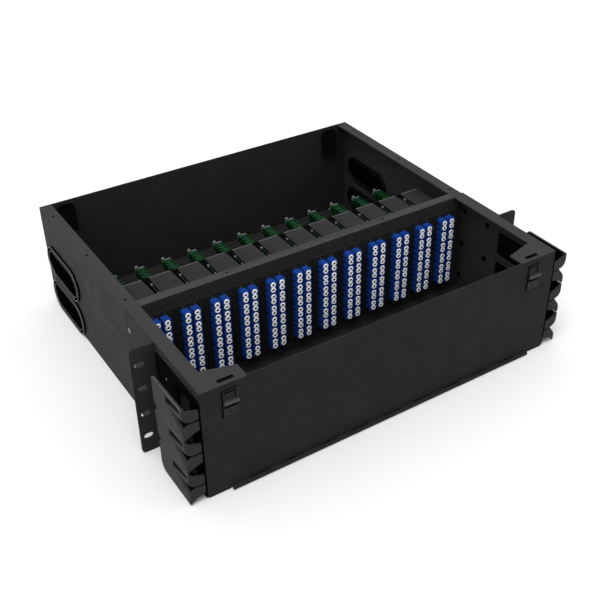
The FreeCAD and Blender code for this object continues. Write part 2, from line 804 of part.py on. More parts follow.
def build_nodes():
    """Every node of the chassis by name."""
    wall = make_side_wall()
    gusset = make_gusset()
    ear = make_rack_ear()
    guide = make_cable_guide()
    screws = make_ear_screws()
    rims = make_port_rims()
    leaf = make_floor_leaf()
    pin = make_hinge_pin()
    housing = make_latch_housing()
    slider = make_latch_slider()
    nodes = {
        "chassis_floor": make_floor(),
        "right_side_wall": wall,
        "left_side_wall": mirror_x(wall),
        "front_corner_gussets": solids_of([gusset, mirror_x(gusset)]),
        "bulkhead_frame": make_bulkhead(),
        "right_rack_ear": ear,
        "left_rack_ear": mirror_x(ear),
        "ear_screws": solids_of(screws + [mirror_x(screw) for screw in screws]),
        "front_door": make_door(True),
        "front_hinge_leaf": leaf,
        "front_hinge_pin": pin,
        "rear_door": mirror_y(make_door(False)),
        "rear_hinge_leaf": mirror_y(leaf),
        "rear_hinge_pin": mirror_y(pin),
        "front_latch_housings": solids_of([housing, mirror_x(housing)]),
        "front_right_latch_slider": slider,
        "front_left_latch_slider": mirror_x(slider),
        "rear_latch_housings": solids_of([mirror_y(housing), mirror_x(mirror_y(housing))]),
        "rear_right_latch_slider": mirror_y(slider),
        "rear_left_latch_slider": mirror_x(mirror_y(slider)),
        "right_cable_guide": guide,
        "left_cable_guide": mirror_x(guide),
        "port_rims": solids_of(rims + [mirror_x(rim) for rim in rims]),
    }
    for index in range(cassette_count):
        name = "cassette_%02d" % (index + 1)
        nodes[name + "_case"] = solids_of([make_housing(index)] + make_mpo_adapters(index))
        nodes[name + "_adapters"] = solids_of(make_adapters(index))
        nodes[name + "_dust_caps"] = solids_of(make_dust_caps(index))
    return nodes


os.makedirs("parts", exist_ok=True)
for node_name, node_shape in build_nodes().items():
    node_shape.exportStep("parts/%s.step" % node_name)
    print("%-28s solids %3d  volume %10.1f  valid %s"
          % (node_name, len(node_shape.Solids), node_shape.Volume, node_shape.isValid()))
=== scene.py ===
import math

import bmesh
import bpy
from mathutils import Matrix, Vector


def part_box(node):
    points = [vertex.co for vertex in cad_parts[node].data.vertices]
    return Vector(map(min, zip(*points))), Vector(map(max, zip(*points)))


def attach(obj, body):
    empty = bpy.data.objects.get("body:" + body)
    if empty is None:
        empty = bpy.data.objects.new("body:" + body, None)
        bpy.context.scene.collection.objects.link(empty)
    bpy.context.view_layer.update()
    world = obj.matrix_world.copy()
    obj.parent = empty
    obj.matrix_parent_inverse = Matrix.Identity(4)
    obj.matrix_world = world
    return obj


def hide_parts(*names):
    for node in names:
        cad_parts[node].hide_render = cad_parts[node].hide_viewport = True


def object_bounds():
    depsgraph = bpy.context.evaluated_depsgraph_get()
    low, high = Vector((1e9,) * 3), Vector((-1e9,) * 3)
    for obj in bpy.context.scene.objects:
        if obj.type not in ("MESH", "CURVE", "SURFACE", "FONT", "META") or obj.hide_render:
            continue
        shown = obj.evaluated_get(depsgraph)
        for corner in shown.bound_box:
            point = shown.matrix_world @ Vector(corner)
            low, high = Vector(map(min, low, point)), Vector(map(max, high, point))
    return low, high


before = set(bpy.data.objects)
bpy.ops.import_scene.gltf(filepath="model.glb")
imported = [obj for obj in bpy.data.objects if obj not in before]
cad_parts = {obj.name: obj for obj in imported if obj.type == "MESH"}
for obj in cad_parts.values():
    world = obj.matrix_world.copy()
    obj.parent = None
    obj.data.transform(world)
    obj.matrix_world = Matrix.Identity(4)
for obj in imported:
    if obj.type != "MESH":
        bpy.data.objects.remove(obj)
cad_low, cad_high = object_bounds()

# Looks of the fibre patch chassis, in metres, in the frame of its CAD model.
MM = 0.001

# Camera, placed where the photograph was taken from
camera_place = Vector((-0.47489, -0.68321, 0.60512))
camera_azimuth = math.radians(-33.61)
camera_elevation = math.radians(34.58)
focal_pixels = 953.18
picture_pixels = 600
centre_pixel_x = 325.72
centre_pixel_y = 297.77
sensor_width = 36.0
view_depth = 50.0

# Light
sky_level = 1.0
sun_level = 1.95
sun_softness = math.radians(40)
sun_from = Vector((-0.28, -0.25, 0.93))
floor_seen = 0.72
floor_bounce = 0.55
floor_size = 14.0
floor_roughness = 0.9

# Cassette layout, as in the CAD model
cassette_names = sorted(name.removesuffix("_case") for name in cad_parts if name.endswith("_case"))
adapter_columns = 2
adapter_rows = 6
adapter_column_spacing = 10.9 * MM
adapter_row_spacing = 14.95 * MM
port_spacing = 6.25 * MM
duplex_side_relief = 0.6 * MM
housing_width = 32.0 * MM
housing_rear_width = 25.2 * MM
faceplate_thickness = 2.4 * MM
faceplate_overlap = 2.0 * MM
taper_from_face = 39.7 * MM
taper_length = 33.0 * MM
top_length = 68.2 * MM
housing_length = 112.7 * MM
housing_rear_height = 62.7 * MM
rear_wall = 1.6 * MM

# Cassette details that only the picture shows
case_gap = 5.6 * MM
case_gap_start = 8.0 * MM
case_edge = 0.5 * MM
faceplate_edge = 0.15 * MM
least_upward = 0.9
# A pale line of painted highlight along the rear edge of each cassette top
edge_line_inset = 0.6 * MM
edge_line_start = 0.8 * MM
edge_line_end = 0.1 * MM
edge_line_depth = 0.3 * MM
edge_line_height = 0.1 * MM
tick_places = (-6.2 * MM, 7.2 * MM)
tick_half_width = 0.35 * MM
tick_half_height = 1.5 * MM
tick_from_top = 3.1 * MM
tick_proud = 0.05 * MM
tick_sunk = 0.1 * MM
tick_slant = 0.45

# Release lever on the left flank of each cassette: runs from the face plate, sides from the flank.
# A glint, a pale block of painted highlight on the lever, is its start, end and height.
lever_drop = 4.6 * MM
lever_thickness = 1.6 * MM
lever_run = (26.0 * MM, 66.0 * MM)
lever_sides = (-1.5 * MM, 0.5 * MM)
glint_lift = 1.2 * MM
glint_sides = (-1.9 * MM, 0.3 * MM)
lever_glints = ((30.0 * MM, 31.2 * MM, 0.6 * MM), (40.0 * MM, 41.6 * MM, 0.9 * MM),
           (55.5 * MM, 57.9 * MM, 2.0 * MM))
rod_lift = 1.5 * MM
rod_thickness = 0.9 * MM
rod_run = (43.0 * MM, 55.0 * MM)
rod_sides = (-1.8 * MM, -0.6 * MM)

# Places on the chassis, as in the CAD model
sheet_thickness = 1.5 * MM
front_y = -92.4 * MM
rear_face_y = 307.6 * MM
latch_x = 185.5 * MM
latch_slot_length = 16.5 * MM
latch_slot_width = 4.4 * MM
bolt_depth = 6.3 * MM
bezel_face = 0.9 * MM
guide_outside = 234.0 * MM
guide_base_face = 217.0 * MM
guide_wall = 2.0 * MM
guide_length = 60.5 * MM
guide_half_height = 18.8 * MM
guide_top_radius = 5.0 * MM
guide_count = 3
guide_pitch = 39.6 * MM
lowest_guide = -43.5 * MM
guide_centres = [lowest_guide + guide_pitch * level for level in range(guide_count)]
port_levels = 2
port_pitch = 46.0 * MM
port_rim_width = 5.0 * MM

# Seals and port beads that only the picture shows: a bead is its inset from the rim's edge and its radius
seal_gap = 0.3 * MM
seal_width = 1.5 * MM
seal_depth = 3.7 * MM
seal_heights = (-62.0 * MM, 52.0 * MM)
outer_beads = ((0.7 * MM, 0.6 * MM), (port_rim_width, 0.4 * MM))
inner_beads = ((2.0 * MM, 0.3 * MM), (4.6 * MM, 0.3 * MM), (7.6 * MM, 0.3 * MM))

# Turned small parts: (radius, depth) points in millimetres, from the outside in
screw_radius = 3.2 * MM
screw_profile = ((1.85, 3.2), (1.85, 1.1), (3.2, 1.1), (3.2, 0.7), (2.9, 0.3), (2.1, 0.05),
                 (1.1, 0.0), (0.9, 0.7))
# Black discs of painted shade in the wall holes
hole_shade_profile = ((3.5, 0.6), (3.5, 0.15), (3.2, 0.0), (2.0, 0.0), (1.6, 0.4))
rivet_profile = ((1.3, 0.8), (1.2, 0.4), (0.8, 0.1), (0.3, 0.0))

# Latch slider: outlines of (depth, height) points and corners of blocks, in millimetres from the door's face.
# Only the half widths and the shift of its bars are in metres.
grip_outline = ((5.2, 38.6), (5.2, 52.6), (0.2, 52.6), (0.2, 50.4), (1.0, 50.0), (1.0, 46.6), (0.3, 45.4),
                (-1.3, 44.6), (-1.3, 38.6))
grip_half_width = 6.5 * MM
ledge_outline = ((-1.1, 44.7), (-2.8, 44.6), (-3.6, 44.1), (-3.9, 43.3), (-3.9, 42.2), (-3.4, 41.6),
                 (-2.2, 41.3), (-1.1, 41.2))
ledge_half_width = 7.7 * MM
ledge_shift = 0.7 * MM
# Painted shade: the block under the ledge and the bolt plate are deep black.
under_ledge = ((-6.4, -1.45, 38.7), (6.4, -1.25, 41.3))
bolt_plate = ((-7.1, 5.0, 34.5), (7.1, 7.6, 62.1))

# Painted shade round the slider: black blocks for its shadow gaps, and black sheets over its case behind the
# door, in millimetres from the door's face.
# A gap is its left, bottom, right and top, and a sheet its two depths.
latch_gaps = ((-8.7, 27.0, -7.4, 57.8), (-8.7, 56.6, 7.6, 57.8), (-6.9, 36.8, 7.6, 38.1))
latch_shade_sheets = ((1.6, 4.9), (7.7, 9.2))
shade_sheet_half_width = 9.4
shade_sheet_heights = (57.8, 58.1)

# Multi-fibre (MPO) adapters behind each cassette: a collar is its start and length
mpo_width = 12.4 * MM
mpo_height = 9.8 * MM
mpo_length = 24.0 * MM
mpo_offset_x = 6.2 * MM
mpo_spacing = 26.0 * MM
mpo_cap_length = 6.0 * MM
mpo_cap_margin = 0.8 * MM
mpo_tab_height = 3.0 * MM
mpo_drop = 1.0 * MM
mpo_count = 2
mpo_collars = ((0.0, 2.6 * MM), (6.4 * MM, 4.2 * MM), (14.8 * MM, 3.0 * MM), (21.2 * MM, 2.0 * MM))

# Finish of edges
same_point = 0.001 * MM
sheet_edge = 0.25 * MM
pin_edge = 0.1 * MM
guide_fin_edge = 0.3 * MM
latch_edge = 0.2 * MM
grommet_edge = 0.4 * MM
sheet_edge_angle = math.radians(40)
sharp_angle = math.radians(30)
outline_angle = math.radians(50)
soft_angle = math.radians(32)
flat_angle = math.radians(0.1)
big_faces_first = 100

# Surface patterns: features per metre, and height of the relief
noise_roughness = 0.55
noise_range = (0.3, 0.7)
cloud_detail = 3.0
coat_cloud = 22.0
coat_cloud_detail = 4.0
coat_wear = 60.0
coat_pebble = 1400.0
grain_detail = 2.0
coat_pebble_strength = 0.35
coat_relief = 0.08 * MM
coat_roughness = (0.68, 0.80)
coat_specular = 0.12
lit_slope = (0.6, 0.9)
plastic_cloud = 35.0
plastic_wear = 150.0
plastic_grain = 2600.0
plastic_grain_strength = 0.2
fine_grain = 0.08
plastic_relief = 0.04 * MM
plastic_wear_range = 0.05
hollow_roughness = 0.9
hollow_fade = 0.6 * MM
hollow_margin = 0.2 * MM
steel_cloud = 300.0
steel_wear = 900.0
steel_marks = 3000.0
marks_detail = 1.0
steel_marks_strength = 0.15
steel_relief = 0.03 * MM
steel_roughness = (0.3, 0.45)


def node_tree(name):
    """New material with its principled shader, for a procedural finish."""
    material = bpy.data.materials.new(name)
    material.use_nodes = True
    tree = material.node_tree
    return material, tree, tree.nodes["Principled BSDF"]


def own_place(tree):
    """The object's own coordinates."""
    return tree.nodes.new("ShaderNodeTexCoord").outputs["Object"]


def noise(tree, scale, detail=cloud_detail):
    """Noise in the object's own coordinates, scale in features per metre."""
    pattern = tree.nodes.new("ShaderNodeTexNoise")
    pattern.inputs["Scale"].default_value = scale
    pattern.inputs["Detail"].default_value = detail
    pattern.inputs["Roughness"].default_value = noise_roughness
    tree.links.new(own_place(tree), pattern.inputs["Vector"])
    return pattern.outputs["Fac"]


def spread(tree, value, low, high, start=noise_range[0], end=noise_range[1]):
    """Maps a value that runs from start to end, as noise mostly does, onto low to high."""
    ramp = tree.nodes.new("ShaderNodeMapRange")
    ramp.inputs["From Min"].default_value = start
    ramp.inputs["From Max"].default_value = end
    ramp.inputs["To Min"].default_value = low
    ramp.inputs["To Max"].default_value = high
    tree.links.new(value, ramp.inputs["Value"])
    return ramp.outputs["Result"]


def tint(tree, value, dark, light):
    """Colour between two shades, picked by a value."""
    mix = tree.nodes.new("ShaderNodeMix")
    mix.data_type = "RGBA"
    mix.inputs["A"].default_value = (*dark, 1.0)
    mix.inputs["B"].default_value = (*light, 1.0)
    tree.links.new(value, mix.inputs["Factor"])
    return mix.outputs["Result"]


def add_bump(tree, shader, value, strength, distance):
    """Raises the surface by a pattern."""
    bump = tree.nodes.new("ShaderNodeBump")
    bump.inputs["Strength"].default_value = strength
    bump.inputs["Distance"].default_value = distance
    tree.links.new(value, bump.inputs["Height"])
    tree.links.new(bump.outputs["Normal"], shader.inputs["Normal"])


def overlay(tree, factor, under, colour):
    """Puts a plain colour over another where a factor is high."""
    mix = tree.nodes.new("ShaderNodeMix")
    mix.data_type = "RGBA"
    mix.inputs["B"].default_value = (*colour, 1.0)
    tree.links.new(under, mix.inputs["A"])
    tree.links.new(factor, mix.inputs["Factor"])
    return mix.outputs["Result"]


def axis_of(tree, vector, axis):
    """One part of a vector."""
    parts = tree.nodes.new("ShaderNodeSeparateXYZ")
    tree.links.new(vector, parts.inputs["Vector"])
    return parts.outputs[axis]


def reckon(tree, operation, *values):
    """Arithmetic on linked values."""
    node = tree.nodes.new("ShaderNodeMath")
    node.operation = operation
    for index, value in enumerate(values):
        tree.links.new(value, node.inputs[index])
    return node.outputs[0]


def clouds(tree, scale, dark, light, detail=cloud_detail):
    """Colour that drifts between two shades."""
    return tint(tree, spread(tree, noise(tree, scale, detail), 0.0, 1.0), dark, light)


def powder_coat(name, dark, light, upper=None):
    """Fine textured powder coat on sheet steel: pebbled, with faint cloudy shade changes.

    An upper colour is painted light: a lighter colour on the faces that look up, standing in for the light
    that falls on them from above.
    """
    material, tree, shader = node_tree(name)
    coat = clouds(tree, coat_cloud, dark, light, coat_cloud_detail)
    if upper is not None:
        # Painted light: faces that look up get the lighter upper colour.
        normal = tree.nodes.new("ShaderNodeNewGeometry").outputs["Normal"]
        top_light_mask = spread(tree, axis_of(tree, normal, "Z"), 0.0, 1.0, *lit_slope)
        coat = overlay(tree, top_light_mask, coat, upper)
    tree.links.new(coat, shader.inputs["Base Color"])
    tree.links.new(spread(tree, noise(tree, coat_wear), *coat_roughness), shader.inputs["Roughness"])
    shader.inputs["Specular IOR Level"].default_value = coat_specular
    add_bump(tree, shader, noise(tree, coat_pebble, grain_detail), coat_pebble_strength, coat_relief)
    return material


def moulding(name, dark, light, roughness, specular=0.35, grain=plastic_grain_strength):
    """Spark-eroded plastic moulding with a soft satin grain."""
    material, tree, shader = node_tree(name)
    tree.links.new(clouds(tree, plastic_cloud, dark, light), shader.inputs["Base Color"])
    wear = spread(tree, noise(tree, plastic_wear), roughness - plastic_wear_range,
                  roughness + plastic_wear_range)
    tree.links.new(wear, shader.inputs["Roughness"])
    shader.inputs["Specular IOR Level"].default_value = specular
    add_bump(tree, shader, noise(tree, plastic_grain, grain_detail), grain, plastic_relief)
    return material


def hollow_moulding(name, dark, light, hollow, roughness, specular):
    """Plastic moulding of a cable guide with painted shade: a deep black colour, with a duller finish, on the
    faces in the hollow behind its lips.
    """
    material, tree, shader = node_tree(name)
    skin = clouds(tree, plastic_cloud, dark, light)
    fin_inside = guide_outside - guide_wall
    lip_back = front_y + guide_wall
    out = reckon(tree, "ABSOLUTE", axis_of(tree, own_place(tree), "X"))
    inside = spread(tree, out, 1.0, 0.0, fin_inside - hollow_fade, fin_inside - hollow_margin)
    behind = spread(tree, axis_of(tree, own_place(tree), "Y"), 0.0, 1.0, lip_back, lip_back + hollow_fade)
    # Faces in the hollow behind the lips get painted shade.
    painted_shade_mask = reckon(tree, "MULTIPLY", inside, behind)
    tree.links.new(overlay(tree, painted_shade_mask, skin, hollow), shader.inputs["Base Color"])
    tree.links.new(spread(tree, painted_shade_mask, roughness, hollow_roughness, 0.0, 1.0), shader.inputs["Roughness"])
    shader.inputs["Specular IOR Level"].default_value = specular
    add_bump(tree, shader, noise(tree, plastic_grain, grain_detail), plastic_grain_strength, plastic_relief)
    return material


def plated_steel(name, dark, light):
    """Zinc plated steel with fine turning marks."""
    material, tree, shader = node_tree(name)
    tree.links.new(clouds(tree, steel_cloud, dark, light), shader.inputs["Base Color"])
    tree.links.new(spread(tree, noise(tree, steel_wear), *steel_roughness), shader.inputs["Roughness"])
    shader.inputs["Metallic"].default_value = 1.0
    add_bump(tree, shader, noise(tree, steel_marks, marks_detail), steel_marks_strength, steel_relief)
    return material


# Finishes: each has a dark and a light shade that it drifts between
# sheet_black and frame_black have painted light: their upper colour lightens the faces that look up.
sheet_black = powder_coat("sheet_black", (0.021, 0.021, 0.0215), (0.026, 0.026, 0.0265),
                          upper=(0.029, 0.029, 0.0295))
# floor_black: the sheet coat made darker, as painted shade on the chassis floor inside.
floor_black = powder_coat("floor_black", (0.011, 0.011, 0.0113), (0.014, 0.014, 0.0143))
frame_black = powder_coat("frame_black", (0.017, 0.017, 0.0175), (0.020, 0.020, 0.0205),
                          upper=(0.036, 0.036, 0.0365))
ear_black = powder_coat("ear_black", (0.017, 0.017, 0.0175), (0.021, 0.021, 0.0215))
door_black = powder_coat("door_black", (0.010, 0.010, 0.0103), (0.013, 0.013, 0.0133))
rear_black = powder_coat("rear_black", (0.014, 0.014, 0.0143), (0.017, 0.017, 0.0173))
# guide_black's third colour is painted shade for the hollow behind the guide's lips.
guide_black = hollow_moulding("guide_black", (0.024, 0.024, 0.0243), (0.028, 0.028, 0.0283),
                              (0.0015, 0.0015, 0.0015), 0.45, 0.03)
# Light grey of the fins' beads: a painted highlight.
guide_edge = moulding("guide_edge", (0.09, 0.09, 0.091), (0.12, 0.12, 0.121), 0.35)
latch_black = moulding("latch_black", (0.011, 0.011, 0.0113), (0.014, 0.014, 0.0143), 0.55, 0.15)
# Lighter grey of the latch ledge: a painted highlight on its edge.
latch_ledge = moulding("latch_ledge", (0.032, 0.032, 0.0323), (0.040, 0.040, 0.0403), 0.4, 0.3)
# Near black without sheen, used for painted shade in holes, slots and gaps.
deep_black = moulding("deep_black", (0.0012, 0.0012, 0.0012), (0.0022, 0.0022, 0.0022), 0.7, 0.0)
rim_grey = moulding("rim_grey", (0.075, 0.075, 0.076), (0.095, 0.095, 0.096), 0.5)
step_grey = moulding("step_grey", (0.012, 0.012, 0.012), (0.016, 0.016, 0.016), 0.5, 0.1)
case_black = moulding("case_black", (0.014, 0.0135, 0.0135), (0.018, 0.0175, 0.0175), 0.6, 0.08)
# case_shade: painted shade for the cassette flanks and rear slopes, which lie in the dark gaps.
case_shade = moulding("case_shade", (0.003, 0.003, 0.003), (0.005, 0.005, 0.005), 0.7, 0.015)
face_black = moulding("face_black", (0.011, 0.011, 0.0113), (0.013, 0.013, 0.0133), 0.6, 0.08)
# Pale grey of painted highlights: the cassette's rear edge line and the lever's pale blocks.
edge_grey = moulding("edge_grey", (0.10, 0.094, 0.094), (0.13, 0.12, 0.12), 0.5)
adapter_blue = moulding("adapter_blue", (0.006, 0.034, 0.20), (0.009, 0.050, 0.27), 0.35, 0.2, fine_grain)
# Darker blue of the adapter bodies: painted shade between the ridges.
adapter_shade = moulding("adapter_shade", (0.002, 0.009, 0.06), (0.003, 0.013, 0.08), 0.6, 0.1, fine_grain)
cap_white = moulding("cap_white", (0.93, 0.93, 0.92), (0.97, 0.97, 0.96), 0.35, 0.5, fine_grain)
# Dark lining of the dust caps' shallow holes: painted shade.
bore_dark = moulding("bore_dark", (0.012, 0.011, 0.010), (0.02, 0.018, 0.016), 0.5, 0.1, fine_grain)
mpo_green = moulding("mpo_green", (0.001, 0.015, 0.004), (0.002, 0.032, 0.009), 0.45, 0.05, fine_grain)
lever_teal = moulding("lever_teal", (0.002, 0.009, 0.008), (0.004, 0.018, 0.015), 0.5, 0.1)
mpo_shade = moulding("mpo_shade", (0.0005, 0.003, 0.0012), (0.001, 0.005, 0.002), 0.45, 0.05, fine_grain)
# Pale grey of the pull tabs, and of the painted highlight along the cap rims.
tab_grey = moulding("tab_grey", (0.10, 0.10, 0.10), (0.15, 0.15, 0.15), 0.4)
mark_grey = moulding("mark_grey", (0.08, 0.072, 0.07), (0.11, 0.10, 0.095), 0.5)
screw_steel = plated_steel("screw_steel", (0.11, 0.11, 0.115), (0.2, 0.2, 0.205))


def dress(name, material, edge=sheet_edge, join_flats=False):
    """Gives a CAD node its finish and rounds its edges, with its flat facets joined if asked."""
    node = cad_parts[name]
    node.data.materials.clear()
    node.data.materials.append(material)
    weld = node.modifiers.new("join_corners", "WELD")
    weld.merge_threshold = same_point
    if join_flats:
        flat = node.modifiers.new("whole_flat_faces", "DECIMATE")
        flat.decimate_type = "DISSOLVE"
        flat.angle_limit = flat_angle
    bevel = node.modifiers.new("edge_radius", "BEVEL")
    bevel.width = edge
    bevel.segments = 2
    bevel.limit_method = "ANGLE"
    bevel.angle_limit = sheet_edge_angle
    bevel.use_clamp_overlap = True
    normals = node.modifiers.new("flat_faces", "WEIGHTED_NORMAL")
    normals.weight = big_faces_first


def in_metres(points):
    """Points that were given in millimetres."""
    return [tuple(part * MM for part in point) for point in points]


def add_block(mesh, low, high):
    """Adds a block between two corners to a bmesh and returns its corner points."""
    made = bmesh.ops.create_cube(mesh, size=1.0)["verts"]
    size = Vector(high) - Vector(low)
    middle = (Vector(high) + Vector(low)) / 2
    for vert in made:
        vert.co = Vector((vert.co.x * size.x, vert.co.y * size.y, vert.co.z * size.z)) + middle
    return made


def add_turned(mesh, profile, centre, segments, lined=None, heading=Vector((0, 1, 0))):
    """Adds a shape turned about a level axis, from its (radius, depth) profile from the outside in.

    From band number lined on, its faces get the second material.
    """
    up = Vector((0, 0, 1))
    across = up.cross(heading)
    rings = []
    for radius, depth in profile:
        ring = []
        for step in range(segments):
            angle = 2 * math.pi * step / segments
            offset = radius * (math.cos(angle) * across + math.sin(angle) * up) + depth * heading
            ring.append(mesh.verts.new(centre + offset))
        rings.append(ring)
    made = []
    for outer, inner in zip(rings, rings[1:]):
        for step in range(segments):
            after = (step + 1) % segments
            made.append(mesh.faces.new((outer[step], outer[after], inner[after], inner[step])))
    made.append(mesh.faces.new(rings[-1]))
    if lined is not None:
        for face in made[lined * segments:]:
            face.material_index = 1


def add_bead(mesh, points, radius, normal, closed=False, sides=8):
    """Adds a round bead along a flat path; normal is square to the path's plane."""
    count = len(points)
    rings = []
    for index, point in enumerate(points):
        before = points[index - 1] if closed or index > 0 else point
        after = points[(index + 1) % count] if closed or index < count - 1 else point
        across = (after - before).normalized().cross(normal)
        ring = []
        for step in range(sides):
            angle = 2 * math.pi * step / sides
            offset = radius * (math.cos(angle) * across + math.sin(angle) * normal)
            ring.append(mesh.verts.new(point + offset))
        rings.append(ring)
    pairs = list(zip(rings, rings[1:]))
    if closed:
        pairs.append((rings[-1], rings[0]))
    for near, far in pairs:
        for step in range(sides):
            after = (step + 1) % sides
            mesh.faces.new((near[step], near[after], far[after], far[step]))
    if not closed:
        mesh.faces.new(rings[0])
        mesh.faces.new(rings[-1])


def add_bar(mesh, outline, half_width):
    """Adds a straight bar across X from its outline of (y, z) points."""
    left = [mesh.verts.new((-half_width, y, z)) for y, z in outline]
    right = [mesh.verts.new((half_width, y, z)) for y, z in outline]
    mesh.faces.new(left)
    mesh.faces.new(right)
    for step in range(len(outline)):
        after = (step + 1) % len(outline)
        mesh.faces.new((left[step], left[after], right[after], right[step]))


def round_sharp(mesh, radius, segments=2, angle=sharp_angle):
    """Rounds every sharp edge of a bmesh."""
    edges = [edge for edge in mesh.edges if edge.is_manifold and edge.calc_face_angle() > angle]
    bmesh.ops.bevel(mesh, geom=edges, offset=radius, segments=segments, profile=0.5,
                    affect="EDGES", clamp_overlap=True)


def join_into(mesh, other, material=0):
    """Moves the faces of one bmesh into another, with one of its materials."""
    for face in other.faces:
        face.material_index = material
    data = bpy.data.meshes.new("part")
    other.to_mesh(data)
    other.free()
    mesh.from_mesh(data)
    bpy.data.meshes.remove(data)


def finish_mesh(mesh, name, *materials):
    """Turns a bmesh into shared mesh data with soft shading."""
    bmesh.ops.recalc_face_normals(mesh, faces=mesh.faces)
    data = bpy.data.meshes.new(name)
    mesh.to_mesh(data)
    mesh.free()
    for material in materials:
        data.materials.append(material)
    data.shade_smooth()
    data.set_sharp_from_angle(angle=soft_angle)
    return data


def place_piece(name, data, place, body, turn=0.0):
    """Puts a piece at its place, turned about the upright axis, and ties it to its body."""
    piece = bpy.data.objects.new(name, data)
    bpy.context.scene.collection.objects.link(piece)
    piece.location = place
    piece.rotation_euler = (0, 0, turn)
    bpy.context.view_layer.update()
    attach(piece, body)
    return piece


def adapter_centres(middle_z):
    """Centre of each duplex adapter, measured from the middle of its cassette."""
    places = []
    for column in range(adapter_columns):
        x = (column - (adapter_columns - 1) / 2) * adapter_column_spacing
        for row in range(adapter_rows):
            places.append((x, middle_z + (row - (adapter_rows - 1) / 2) * adapter_row_spacing))
    return places


def cap_mesh(low, high):
    """Dust caps of one cassette: white rings with a rounded rim and a shallow blind hole, lined in a dark
    colour that is painted shade.
    """
    radius = 3.08 * MM
    rim = 0.25 * MM
    hole = 1.4 * MM
    white_depth = 0.25 * MM
    hole_depth = 0.65 * MM
    segments = 20
    outside = [(radius, high.y - low.y), (radius, rim), (radius - rim, 0)]
    inside = [(hole + rim, 0), (hole, white_depth)]
    profile = outside + inside + [(hole, hole_depth)]
    mesh = bmesh.new()
    for x, z in adapter_centres((low.z + high.z) / 2):
        for side in (-1, 1):
            centre = Vector((x, low.y, z + side * port_spacing / 2))
            add_turned(mesh, profile, centre, segments, len(profile) - 2)
    return finish_mesh(mesh, "dust_caps", cap_white, bore_dark)


def adapter_mesh(low, high, cap_front):
    """Duplex adapters of one cassette: blue collar round the caps and ridged flanks, on a body in a darker
    blue that is painted shade between them.
    """
    height = (high.z - low.z) - (adapter_rows - 1) * adapter_row_spacing
    width = (high.x - low.x) - (adapter_columns - 1) * adapter_column_spacing - 2 * duplex_side_relief
    half = width / 2
    tall = height / 2
    collar_front = cap_front + 0.8 * MM
    collar_back = collar_front + 3.4 * MM
    ridge_start = collar_back + 0.9 * MM
    ridge_end = high.y - 2.0 * MM
    ridge_rows = 2
    ridge_height = 4.3 * MM
    inset = 0.7 * MM
    key_thickness = inset + 0.2 * MM
    edge = 0.18 * MM
    ridges = bmesh.new()
    bodies = bmesh.new()
    for x, z in adapter_centres((low.z + high.z) / 2):
        # The body gets the darker blue: painted shade in the gaps between the ridges.
        add_block(bodies, (x - half + inset, collar_front + inset, z - tall + inset),
                  (x + half - inset, high.y, z + tall - inset))
        add_block(ridges, (x - half, collar_front, z - tall), (x + half, collar_back, z + tall))
        for row in range(ridge_rows):
            middle = z + (row - (ridge_rows - 1) / 2) * (height / ridge_rows)
            add_block(ridges, (x - half, ridge_start, middle - ridge_height / 2),
                      (x + half, ridge_end, middle + ridge_height / 2))
        add_block(ridges, (x - half + inset / 2, ridge_start, z + tall - key_thickness),
                  (x + half - inset / 2, high.y, z + tall))
    round_sharp(ridges, edge, 1)
    round_sharp(bodies, edge, 1)
    join_into(ridges, bodies, 1)
    return finish_mesh(ridges, "duplex_adapters", adapter_blue, adapter_shade)


